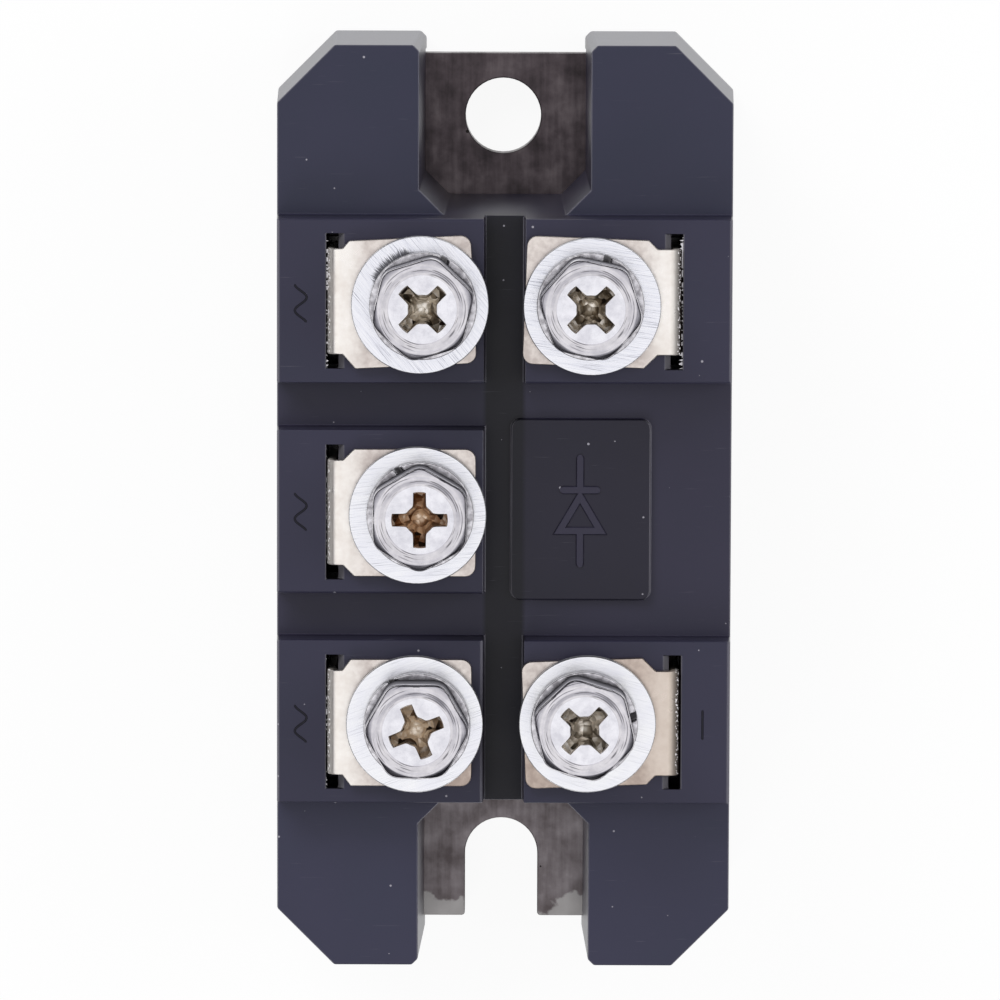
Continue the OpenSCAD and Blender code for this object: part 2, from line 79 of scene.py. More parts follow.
def addNode(tree, kind, inputs=None, stops=(), **settings):
    # one node with its settings, its inputs and, on a ramp, its stops: the two ends first, then any between
    node = tree.nodes.new("ShaderNode" + kind)
    for name, value in settings.items():
        setattr(node, name, value)
    connect(tree, node, inputs or {})
    for i, (place, colour) in enumerate(stops):
        stop = node.color_ramp.elements[i] if i < 2 else node.color_ramp.elements.new(place)
        stop.position = place
        stop.color = linearColour(colour)
    return node


def newFinish(name):
    # a material, a function that adds a node to it, and its object coordinates
    finish = bpy.data.materials.new(name)
    finish.use_nodes = True
    add = partial(addNode, finish.node_tree)
    return finish, add, add("TexCoord").outputs["Object"]


def surfaced(finish, inputs, relief, strength, depth, under=None):
    # the material with its shader's inputs and a relief that deep in mm, on top of another one if there is one
    tree = finish.node_tree
    bump = addNode(tree, "Bump", {"Height": relief, "Strength": strength, "Distance": depth * mm,
                                  **({"Normal": under} if under else {})})
    connect(tree, tree.nodes["Principled BSDF"], {**inputs, "Normal": bump})
    return finish


def dulled(add, mask):
    # inputs of a metal that turns dull at every angle where the mask is 1: not metallic, with no specular level
    return {name: add("MapRange", {"Value": mask, "To": (plain, 0)})
            for name, plain in (("Metallic", 1.0), ("Specular IOR Level", 0.5))}


def edged(add, place, tint, look):
    # inputs of a metal whose edge below its face is painted darker, as painted shade, and made dull
    fade = add("MapRange", {"Value": add("SeparateXYZ", {0: place}).outputs["Z"],
                            "From": metres(look["edgeZ"]), "To": (look["edgeShare"], 0)})
    colour = add("Mix", {0: fade, 6: tint, 7: look["edge"]}, data_type="RGBA")
    return {"Base Color": colour, **dulled(add, fade)}


def mottled(add, place, perMm, character, stops):
    # patches of colour: a noise of that many cells to the millimetre, and the colours it turns into
    noise = add("TexNoise", {"Vector": place, "Scale": perMm / mm, **character})
    return noise, add("ValToRGB", {0: noise}, stops=stops)


def drawnOut(add, place, size, character, turn=0, centre=(0, 0)):
    # lines: a noise whose cells are as long, wide and deep as size says in mm, turned about a centre in mm
    lay = add("Mapping", {"Vector": place, "Location": metres((*centre, 0)), "Rotation": (0, 0, turn),
                          "Scale": metres(size)}, vector_type="TEXTURE")
    return add("TexNoise", {"Vector": lay, "Scale": 1, **character})


def aboutScrew(add, place, i):
    # the place's parts seen from screw i's axis, the two flat ones together, and the distance from the axis
    x, y = screwPlaces[i][:2]
    centred = add("Mapping", {"Vector": place, "Location": (-x * mm, -y * mm, 0)}, vector_type="POINT")
    parts = add("SeparateXYZ", {0: centred}).outputs
    flat = add("CombineXYZ", {0: parts["X"], 1: parts["Y"]})
    return parts, flat, add("VectorMath", {0: flat}, operation="LENGTH")


def addPiece(name, mesh, finish, nodes=()):
    piece = bpy.data.objects.new(name, mesh)
    scene.collection.objects.link(piece)
    mesh.materials.append(finish)
    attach(piece, "root")
    if nodes:
        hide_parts(*nodes)
    return piece


def nodeArrays(nodeName):
    # vertex places in metres and triangle corners of a CAD node, as arrays
    mesh = frame["nodes"][nodeName].data
    places = np.empty(len(mesh.vertices) * 3, np.float32)
    mesh.vertices.foreach_get("co", places)
    corners = np.empty(len(mesh.loops), np.int32)
    mesh.loops.foreach_get("vertex_index", corners)
    return places.reshape(-1, 3), corners.reshape(-1, 3)


def gridMesh(name, grid, closeAlong=False, capEnds=False):
    # a mesh from a grid of places in mm (rows, columns, xyz) whose columns close on themselves:
    # each cell is a quad, and an open grid's two end rows become one face each
    rows, columns = grid.shape[:2]
    index = np.arange(rows * columns).reshape(rows, columns)
    here = index if closeAlong else index[:-1]
    down = np.roll(index, -1, axis=0) if closeAlong else index[1:]
    quads = np.stack([here, np.roll(here, -1, axis=1), np.roll(down, -1, axis=1), down], axis=-1)
    faces = quads.reshape(-1, 4).tolist()
    if capEnds:
        faces += [index[0, ::-1].tolist(), index[-1].tolist()]
    mesh = bpy.data.meshes.new(name)
    mesh.from_pydata((grid.reshape(-1, 3) * mm).tolist(), [], faces)
    work = bmesh.new()
    work.from_mesh(mesh)
    bmesh.ops.recalc_face_normals(work, faces=work.faces)
    work.to_mesh(mesh)
    work.free()
    mesh.shade_smooth()
    return mesh


viewing = {
    "tilt": 6.028,  # degrees that the camera leans towards the end with the round hole
    "roll": -0.19,  # degrees of turn about the line of sight
    "yaw": -0.141,  # degrees of lean towards the left side
    "distance": 630.47,  # mm from the underside's middle, along the line of sight
    "shiftX": 0.405,  # mm that the underside's middle lies right of the line of sight
    "shiftY": 1.468,  # and above it
    "lens": 256.6,  # mm
    "sensor": 36,  # mm, its width
}


def makeCamera():
    data = bpy.data.cameras.new("camera")
    data.lens = viewing["lens"]
    data.sensor_width = viewing["sensor"]
    data.clip_start = 0.01
    data.clip_end = 20
    camera = bpy.data.objects.new("camera", data)
    scene.collection.objects.link(camera)
    turn = (Matrix.Rotation(-math.radians(viewing["tilt"]), 4, "X")
            @ Matrix.Rotation(-math.radians(viewing["yaw"]), 4, "Y")
            @ Matrix.Rotation(-math.radians(viewing["roll"]), 4, "Z"))
    back = Matrix.Translation((-viewing["shiftX"] * mm, -viewing["shiftY"] * mm, viewing["distance"] * mm))
    camera.matrix_world = turn @ back
    scene.camera = camera


makeCamera()
scene.view_settings.view_transform = "Standard"
print("camera placed")

studio = {
    "ambient": 0.42,  # level of the tent's walls, for the light that reaches the object
    "backdrop": 1.0,  # level at which the camera sees the tent
    "mirrored": [  # what metal and gloss see, from level to straight up
        (0.0, "#3c3c42"), (1.0, "#f6f6fa"), (0.12, "#242428"), (0.40, "#2c2c31"), (0.47, "#b4b4ba"),
        (0.53, "#e4e4e8"), (0.66, "#ffffff"), (0.92, "#ffffff"),
    ],
    "ragged": 0.16,  # how far the edge of the dark flags round the tent waves up and down
    "lamps": [
        # name, place in mm, width, height, watts
        ("keyLamp", (-260, 420, 330), 340, 240, 2.3),
        ("fillLamp", (400, 60, 300), 300, 240, 1.1),
        ("rimLamp", (-120, -420, 320), 340, 240, 1.15),
    ],
    "floorSize": 3000,  # mm
    "floorTint": "#e9e9ea",
    "floorShade": 0.07,  # share of the real shading, and so of the shadow, that the camera sees
}


def makeWorld():
    world = bpy.data.worlds.new("tent")
    world.use_nodes = True
    scene.world = world
    world.node_tree.nodes.clear()
    add = partial(addNode, world.node_tree)
    path = add("LightPath").outputs
    shown = add("Math", {0: path["Is Camera Ray"], 1: path["Is Transmission Ray"]}, operation="MAXIMUM")
    # height of the ray's direction: 1 straight up, 0 level, and a little off where the flags are ragged
    way = add("TexCoord").outputs["Generated"]
    height = add("SeparateXYZ", {0: way}).outputs["Z"]
    wave = add("TexNoise", {"Vector": way, "Scale": 2.2, "Detail": 1})
    ragged = studio["ragged"] / 2
    waved = add("MapRange", {"Value": wave, "To": (ragged, -ragged)})
    level = add("Math", {0: height, 1: waved}, operation="ADD")
    seam = add("ValToRGB", {0: level}, stops=studio["mirrored"])
    ambient = add("Background", {"Color": "#ffffff", "Strength": studio["ambient"]})
    gloss = add("Background", {"Color": seam, "Strength": studio["backdrop"]})
    white = add("Background", {"Color": "#ffffff", "Strength": studio["backdrop"]})
    mirrored = add("MixShader", {0: path["Is Glossy Ray"], 1: ambient, 2: gloss})
    final = add("MixShader", {0: shown, 1: mirrored, 2: white})
    add("OutputWorld", {"Surface": final})


def makeFloor():
    half = studio["floorSize"] / 2 * mm
    mesh = bpy.data.meshes.new("floor")
    corners = [(-half, -half, 0), (half, -half, 0), (half, half, 0), (-half, half, 0)]
    mesh.from_pydata(corners, [], [range(4)])
    finish, add = newFinish("pale_paper")[:2]
    tree = finish.node_tree
    shader = tree.nodes["Principled BSDF"]
    connect(tree, shader, {"Base Color": studio["floorTint"], "Roughness": 0.9, "Specular IOR Level": 0.0})
    path = add("LightPath").outputs
    seen = add("Math", {0: path["Is Camera Ray"], 1: path["Is Glossy Ray"]}, operation="MAXIMUM")
    share = add("Math", {0: seen, 1: 1 - studio["floorShade"]}, operation="MULTIPLY")
    white = add("Emission", {"Color": "#ffffff", "Strength": 1.0})
    mixed = add("MixShader", {0: share, 1: shader, 2: white})
    connect(tree, tree.nodes["Material Output"], {"Surface": mixed})
    mesh.materials.append(finish)
    floor = bpy.data.objects.new("floor", mesh)
    scene.collection.objects.link(floor)


def makeLamps():
    for name, place, width, height, watts in studio["lamps"]:
        data = bpy.data.lights.new(name, "AREA")
        data.shape = "RECTANGLE"
        data.size = width * mm
        data.size_y = height * mm
        data.energy = watts
        lamp = bpy.data.objects.new(name, data)
        lamp.visible_glossy = False
        scene.collection.objects.link(lamp)
        spot = Matrix.Translation(metres(place))
        aim = spot.to_translation().to_track_quat("Z", "Y").to_matrix().to_4x4()
        lamp.matrix_world = spot @ aim


makeWorld()
makeFloor()
makeLamps()
print("studio lit")


housingLook = {
    "deck": "#343344",  # handled tops of the terminal decks
    "ear": "#333445",  # tops of the ears
    "openEar": "#38384a",  # the ears at the open slot's end
    "openEnd": (-5, -25),  # mm, from where that end's colour begins to where it is full
    "middle": "#333141",  # floor between the decks
    "panel": "#22202d",  # the raised panel, which kept its mould finish
    "channel": "#0d0c17",  # painted shade: the sunk channel between the columns, painted darker than all round it
    "slot": "#08070c",  # walls of the slots, which the light hardly reaches
    # pale grey of the dust, also used to paint the highlights below
    "dust": "#8f8d96",
    "edgeHighlight": 0.35,  # painted highlight: how far the rounded edges go towards the dust's pale grey
    "endWall": 0.2,  # painted highlight, the same on the walls at the round hole's end
    "endHighlightReach": (28, 33),  # mm, over which that begins
    "wallRoughness": 0.31,
    "topRoughness": (0.4, 0.55),
    "cloudSize": 7,  # mm between the faint clouds
    "grainSize": 0.12,  # mm, coarser than the real 0.03 mm so that it shows
    "dustSize": 0.11,  # mm, the largest specks
    "dustCell": 2.4,  # mm, at most one speck to a cell
    "lint": (4, 0.12, 4),  # mm, length, width and depth of a hair
    "deckFoot": (23.2, 23.8),  # mm, heights over which a deck's top turns into its foot
    "earFoot": (25.0, 25.3),  # mm from the middle, where the ears begin
    "channelEdge": (1.5, 1.9),  # mm from the middle, where the channel ends
    "panelZ": (21.7, 0.3),  # mm, height and how far from it still counts
    "slotX": (14.4, 1.12),  # the same for the slots' distance from the middle
    "slotZ": (22.67, 1.29),  # for their height
    "slotRow": (18, 5.9),  # mm from row to row, and half a slot's length
}


def mouldedPbt():
    # black glass-filled PBT from a spark-eroded mould: fine grain with a faint sheen, clouded where it cooled
    # slowly, with painted highlights on rounded edges and end walls, painted shade in the channel and slots,
    # and pale dust caught in the grain and along the slots
    look = housingLook
    finish, add, place = newFinish("moulded_pbt")
    axes = add("SeparateXYZ", {0: place}).outputs
    across, along = [add("Math", {0: axes[way]}, operation="ABSOLUTE") for way in ("X", "Y")]
    # 1 below the decks' tops, 1 between the ears, 1 in the channel
    below, between, sunk = [
        add("MapRange", {"Value": way, "From": metres(look[edge]), "To": (1, 0)})
        for way, edge in ((axes["Z"], "deckFoot"), (along, "earFoot"), (across, "channelEdge"))]
    sunkBelow = add("Math", {0: sunk, 1: below}, operation="MULTIPLY")
    inChannel = add("Math", {0: sunkBelow, 1: between}, operation="MULTIPLY")
    nearOpen = add("MapRange", {"Value": axes["Y"], "From": metres(look["openEnd"])})
    # inside the slots: within half a slot of each row, |((y + pitch / 2) mod pitch) - pitch / 2| < half
    pitch, half = metres(look["slotRow"])
    rowShift = add("Math", {0: along, 1: pitch / 2}, operation="ADD")
    rowTurn = add("Math", {0: rowShift, 1: pitch}, operation="MODULO")
    inRow = add("Math", {0: rowTurn, 1: pitch / 2, 2: half}, operation="COMPARE")
    raised, inSlot, slotDepth = [
        add("Math", {0: way, 1: look[band][0] * mm, 2: look[band][1] * mm}, operation="COMPARE")
        for way, band in ((axes["Z"], "panelZ"), (across, "slotX"), (axes["Z"], "slotZ"))]
    slotPlan = add("Math", {0: inRow, 1: inSlot}, operation="MULTIPLY")
    slotWalls = add("Math", {0: slotPlan, 1: slotDepth}, operation="MULTIPLY")
    ears = add("Mix", {0: nearOpen, 6: look["ear"], 7: look["openEar"]}, data_type="RGBA")
    low = add("Mix", {0: between, 6: ears, 7: look["middle"]}, data_type="RGBA")
    tinted = look["deck"]
    for mask, colour in ((below, low), (raised, look["panel"]), (slotWalls, look["slot"]),
                         (inChannel, look["channel"])):
        tinted = add("Mix", {0: mask, 6: tinted, 7: colour}, data_type="RGBA")
    # clouds shift the hue between violet and green-grey, and the sheen
    cloud, hue = mottled(add, place, 1 / look["cloudSize"], {"Detail": 3, "Roughness": 0.55},
                         [(0.3, "#6d6a7e"), (0.7, "#666f78"), (0.5, "#69687a")])
    clouded = add("Mix", {0: 0.5, 6: tinted, 7: hue}, data_type="RGBA", blend_type="SOFT_LIGHT")
    # dust: round specks, one at most to a cell and most cells empty
    dust = add("TexVoronoi", {"Vector": place, "Scale": 1000 / look["dustCell"]},
               voronoi_dimensions="2D").outputs
    lot = add("SeparateColor", {0: dust["Color"]})
    size = add("MapRange", {"Value": lot, "From": (0.86, 1), "To": (0, look["dustSize"] / look["dustCell"])})
    speck = add("Math", {0: dust["Distance"], 1: size}, operation="LESS_THAN")
    # lint: short pale lines where a drawn-out noise peaks
    lint = drawnOut(add, place, look["lint"], {"Detail": 2, "Distortion": 0.4})
    hair = add("MapRange", {"Value": lint, "From": (0.71, 0.78), "To": (0, 0.14)})
    # painted highlight: rounded edges that face left or right are painted pale, and so are the walls at the
    # round hole's end
    facing = add("SeparateXYZ", {0: finish.node_tree.nodes["Texture Coordinate"].outputs["Normal"]}).outputs
    aside, upDown = [add("Math", {0: facing[way]}, operation="ABSOLUTE") for way in ("X", "Z")]
    turnedIn, turnedUp, endward, beyond = [
        add("MapRange", {"Value": way, "From": reach, "To": (0, most)})
        for way, reach, most in ((aside, (0.2, 0.5), 1), (facing["Z"], (0.1, 0.35), look["edgeHighlight"]),
                                 (facing["Y"], (0.2, 0.97), look["endWall"]),
                                 (axes["Y"], metres(look["endHighlightReach"]), 1))]
    edgeHighlight = add("Math", {0: turnedIn, 1: turnedUp}, operation="MULTIPLY")
    endWallHighlight = add("Math", {0: endward, 1: beyond}, operation="MULTIPLY")
    flatTop = add("Math", {0: facing["Z"], 1: 0.6}, operation="GREATER_THAN")
    lying = add("Math", {0: flatTop, 1: speck}, operation="MULTIPLY")
    # pale holds both the painted highlights and the real dust and lint
    pale = edgeHighlight
    for mask in (endWallHighlight, lying, hair):
        pale = add("Math", {0: pale, 1: mask}, operation="MAXIMUM")
    colour = add("Mix", {0: pale, 6: clouded, 7: look["dust"]}, data_type="RGBA")
    # the mould's walls are polished so that the housing comes out, its tops are eroded and duller
    sheen = add("MapRange", {"Value": cloud, "To": look["topRoughness"]})
    upright = add("MapRange", {"Value": upDown, "From": (0.3, 0.6), "To": (1, 0)})
    gloss = add("Mix", {0: upright, 2: sheen, 3: look["wallRoughness"]})
    grain = add("TexNoise", {"Vector": place, "Scale": 1000 / look["grainSize"]})
    return surfaced(finish, {"Base Color": colour, "Roughness": gloss, "IOR": 1.5, "Specular IOR Level": 0.37},
                    grain, 0.3, 0.02)


def markedPbt(name, look):
    # the same PBT on a raised sign: painted shade, mottled, in the corner at its foot, plain on top
    finish, add, place = newFinish(name)
    foot, top = look["tints"]
    height = add("MapRange", {"Value": add("SeparateXYZ", {0: place}).outputs["Z"],
                              "From": metres([look["z"] + share * look["rise"] for share in (0.25, 0.95)])})
    footShade = mottled(add, place, 0.9, {}, [(0.35, foot), (0.75, top)])[1]
    tint = add("Mix", {0: height, 6: footShade, 7: top}, data_type="RGBA")
    grain = add("TexNoise", {"Vector": place, "Scale": 1000 / housingLook["grainSize"]})
    return surfaced(finish, {"Base Color": tint, "Specular IOR Level": 0.34}, grain, 0.3, 0.02)


plateLook = {
    "slotEnd": ("#675f60", "#797274", "#8a8486"),  # dull, middling and wiped, at the open slot
    "holeEnd": ("#443e40", "#544c4f", "#665e60"),  # the same at the round hole, darker: grime, with painted shade from the ears over it
    "wiped": "#a6a3a2",  # bare plating that shows near the open end
    "wipedReach": (-38.2, -33),  # mm, from where the patches are largest to where they end
    "pit": "#2c2827",
    "blotch": 3.2,  # mm between blotches
    "streak": (0.5, 7.0, 1000),  # mm, width and length of the rolling streaks, which don't change with depth
}


def stainedNickel():
    # nickel-plated copper base, rolled along its length, then stained brown-grey by flux and fingers: faint
    # streaks along the rolling, dark pits, bare patches wiped clean near the open end, and painted shade over
    # grime towards the round hole
    look = plateLook
    finish, add, place = newFinish("stained_nickel")
    along = add("SeparateXYZ", {0: place}).outputs["Y"]
    blotch = add("TexNoise", {"Vector": place, "Scale": 1000 / look["blotch"], "Detail": 5, "Roughness": 0.62})
    streak = drawnOut(add, place, look["streak"], {"Detail": 3, "Roughness": 0.6})
    faint = add("Math", {0: streak, 1: 0.35, 2: -0.175}, operation="MULTIPLY_ADD")
    shade = add("Math", {0: blotch, 1: faint}, operation="ADD")
    slotEnd, holeEnd = [add("ValToRGB", {0: shade}, stops=[(0.3, dark), (0.72, pale), (0.5, plain)])
                        for dark, plain, pale in (look["slotEnd"], look["holeEnd"])]
    # towards the round hole it darkens: partly grime, partly painted shade from the ears
    end = add("MapRange", {"Value": along, "From": (-20 * mm, 20 * mm)})
    # wiped patches grow towards the open end
    reach = add("MapRange", {"Value": along, "From": metres(look["wipedReach"]), "To": (0.2, -0.3)})
    patch = add("TexNoise", {"Vector": place, "Scale": 0.42 / mm, "Detail": 4})
    grown = add("Math", {0: patch, 1: reach}, operation="ADD")
    wiped = add("MapRange", {"Value": grown, "From": (0.56, 0.62)})
    # pits about 0.2 mm across, in few of the cells
    cells = add("TexVoronoi", {"Vector": place, "Scale": 0.9 / mm},
                voronoi_dimensions="2D").outputs
    lot = add("SeparateColor", {0: cells["Color"]})
    pitSize = add("MapRange", {"Value": lot, "From": (0.93, 1), "To": (0, 0.15)})
    pit = add("Math", {0: cells["Distance"], 1: pitSize}, operation="LESS_THAN")
    tint = slotEnd
    for mask, colour in ((end, holeEnd), (wiped, look["wiped"]), (pit, look["pit"])):
        tint = add("Mix", {0: mask, 6: tint, 7: colour}, data_type="RGBA")
    dull = add("MapRange", {"Value": shade, "From": (0.3, 0.7), "To": (0.5, 0.3)})
    return surfaced(finish, {"Metallic": 1, "Base Color": tint, "Roughness": dull}, shade, 0.25, 0.02)


stripLook = {
    "pad": ("#cfc4be", "#ece3dc"),  # rubbed grey and clean plating on the flat pad
    "bend": ("#f6efe8", "#fffaf4"),  # painted highlight: the bend painted brighter than the pad
    "minusTint": "#dfd6cf",  # darker tint over the minus strip
    "legShade": "#1d1716",  # painted shade: the leg in the slot, seen nearly end on
    "crumb": "#f2f0f2",
    "bendX": (11.6, 13.3),  # mm from the middle between which the pad turns into the bend
    "legX": (14.45, 15.3),  # mm, and between which the bend turns into the leg
    "crumbX": (14.9, 0.12),  # mm, middle and half the width of the line of crumbs
    "mottle": 0.55,  # mm between the mottles
    "scratch": (1.6, 0.05, 1),  # mm, length and width, at any depth nearby
}


def satinNickel():
    # nickel-plated brass strip, punched and barrel plated: warm and satin, with a painted highlight on the
    # bend, painted shade on the leg in the slot and fine tumbling scratches
    look = stripLook
    finish, add, place = newFinish("satin_nickel")
    axes = add("SeparateXYZ", {0: place}).outputs
    out = add("Math", {0: axes["X"]}, operation="ABSOLUTE")
    mottle = add("TexNoise", {"Vector": place, "Scale": 1000 / look["mottle"], "Detail": 4, "Roughness": 0.6})
    broad = add("TexNoise", {"Vector": place, "Scale": 0.33 / mm})
    broadShare = add("Math", {0: broad, 1: 0.55}, operation="MULTIPLY")
    shade = add("Math", {0: mottle, 1: 0.45, 2: broadShare}, operation="MULTIPLY_ADD")
    pad, bend = [add("ValToRGB", {0: shade}, stops=[(0.4, grey), (0.6, clean)])
                 for grey, clean in (look["pad"], look["bend"])]
    bent = add("MapRange", {"Value": out, "From": metres(look["bendX"])})
    # the minus strip is coloured a little darker: the one that lies more than 18 mm right of and below the
    # diagonal
    slant = add("Math", {0: axes["X"], 1: axes["Y"]}, operation="SUBTRACT")
    minus = add("Math", {0: slant, 1: 18 * mm}, operation="GREATER_THAN")
    # past the bend the strip goes down into the slot, where it is painted dark as shade, and crumbs of flash
    # stick along that line; both lie a little nearer the middle on the right
    right = add("Math", {0: axes["X"], 1: 0.0}, operation="GREATER_THAN")
    nearLeg, nearLine = [add("Math", {0: right, 1: shift * mm, 2: out}, operation="MULTIPLY_ADD")
                         for shift in (0.4, 0.1)]
    down = add("MapRange", {"Value": nearLeg, "From": metres(look["legX"])})
    crumb = add("TexNoise", {"Vector": place, "Scale": 5.2 / mm})
    line = add("Math", {0: nearLine, 1: look["crumbX"][0] * mm, 2: look["crumbX"][1] * mm}, operation="COMPARE")
    crumbs = add("MapRange", {"Value": crumb, "From": (0.57, 0.61)})
    stuck = add("Math", {0: line, 1: crumbs}, operation="MULTIPLY")
    tint = pad
    for mask, colour, blend in ((bent, bend, "MIX"), (minus, look["minusTint"], "MULTIPLY"),
                                (down, look["legShade"], "MIX"), (stuck, look["crumb"], "MIX")):
        tint = add("Mix", {0: mask, 6: tint, 7: colour}, data_type="RGBA", blend_type=blend)
    dull = add("Math", {0: down, 1: stuck}, operation="MAXIMUM")
    rough = add("MapRange", {"Value": shade, "From": (0.35, 0.65), "To": (0.42, 0.26)})
    scratch = drawnOut(add, place, look["scratch"], {"Detail": 2}, turn=0.5)
    return surfaced(finish, {"Base Color": tint, "Roughness": rough, **dulled(add, dull)}, scratch, 0.22, 0.01)


washerLook = {
    "plating": ("#8d8d9b", "#ecedf5", "#fbfbff"),  # grooves, faces and crests of the grinding
    "edge": "#39383d",  # the punched edge, painted dark as shade and dark reflection
    "edgeZ": (25.5, 25.66),  # mm, heights between which the edge turns into the face
    "edgeShare": 0.85,
    # painted dark reflection, fanning out next to the head
    "fanTint": "#3a3a40",
    "fanReach": (4.4, 5.6),  # mm from the axis, from where the marks are thickest to where they end
    "line": (2.6, 0.06, 10),  # mm, length and width of a grinding line, coarser than the real 0.02 mm to show
    "turn": (-50, 6, 20, -8, -15),  # degrees, the grinding's direction on each washer
    "rough": (0.24, 0.26, 0.24, 0.24, 0.26),
    "depth": (0.34, 0.22, 0.14, 0.34, 0.12),  # how strongly the lines show
    "fanDarkness": (0.9, 0.0, 0.0, 0.0, 0.0),  # how dark the painted reflection is that fans out next to the head
}


def groundZinc(i):
    # bright zinc over a steel washer that was ground flat before plating: straight fine lines, bluish white,
    # a punched edge painted dark as shade, and painted dark reflection fanning out next to the spring washer
    look = washerLook
    finish, add, place = newFinish("ground_zinc_" + str(i + 1))
    lines = drawnOut(add, place, look["line"], {"Detail": 3, "Roughness": 0.6, "Distortion": 0.25},
                     math.radians(look["turn"][i]), screwPlaces[i][:2])
    groove, face, crest = look["plating"]
    ramp = add("ValToRGB", {0: lines}, stops=[(0.3, groove), (0.6, crest), (0.4, face)])
    plain = mottled(add, place, 0.6, {"Detail": 3}, [(0.35, "#f6f6fb"), (0.65, "#ffffff")])[1]
    tint = add("Mix", {0: min(1.0, look["depth"][i] * 2.6), 6: plain, 7: ramp}, data_type="RGBA")
    if look["fanDarkness"][i]:
        # painted dark reflection: marks fan out over a quarter of the washer, the upper left one
        parts, _, radius = aboutScrew(add, place, i)
        angle = add("Math", {0: parts["Y"], 1: parts["X"]}, operation="ARCTAN2")
        fan = add("TexNoise", {"Vector": add("CombineXYZ", {0: angle}), "Scale": 46, "Detail": 3})
        reach = add("MapRange", {"Value": radius, "From": metres(look["fanReach"]), "To": (0.42, -0.2)})
        turned = add("Math", {0: angle, 1: 2.25}, operation="SUBTRACT")
        away = add("Math", {0: turned}, operation="ABSOLUTE")
        side = add("MapRange", {"Value": away, "From": (0.35, 0.8), "To": (0.22, -0.5)})
        total = fan
        for part in (reach, side):
            total = add("Math", {0: total, 1: part}, operation="ADD")
        fanTint = add("MapRange", {"Value": total, "From": (0.78, 0.95), "To": (0, look["fanDarkness"][i])})
        tint = add("Mix", {0: fanTint, 6: tint, 7: look["fanTint"]}, data_type="RGBA")
    return surfaced(finish, {"Roughness": look["rough"][i], **edged(add, place, tint, look)}, lines,
                    look["depth"][i], 0.02)


headLook = {
    "plating": ("#dfdee4", "#f7f6fa"),
    "ring": "#e9e7e8",  # painted shade: a greyer ring between the dish and the hexagon's edge
    "ringR": (3.6, 0.72),  # mm, its radius and half its width
    "brokenLine": "#67656b",
    "brokenGap": 0.16,  # mm between the broken lines round the dish
    "flankShade": ("#29282c", "#8f8e95"),  # painted shade on the hexagon's sides: dark at their foot and pale at their top
    "flankZ": (27, 30.2),  # mm, heights of that foot and top
    "turning": 0.09,  # mm between the rings that the heading die left
    "recess": ("#fbf5ec", "#ead6c0", "#e8dccd", "#fbf5ec", "#f4eee6"),  # plating in each cross recess
    "recessDeep": "#2b201b",
    "recessDark": ("#8f8372", "#855a38", "#7f6850", "#8f8372", "#8a8276"),  # grime in its corners
    "recessR": 2.55,  # mm, how far the recess reaches from the axis
    "recessFade": (30.23, 30.39),  # mm, heights over which the recess gives way to the dish's floor at 30.45
    "sideFade": (29.9, 30.25),  # mm, and the sides to the bevel
}


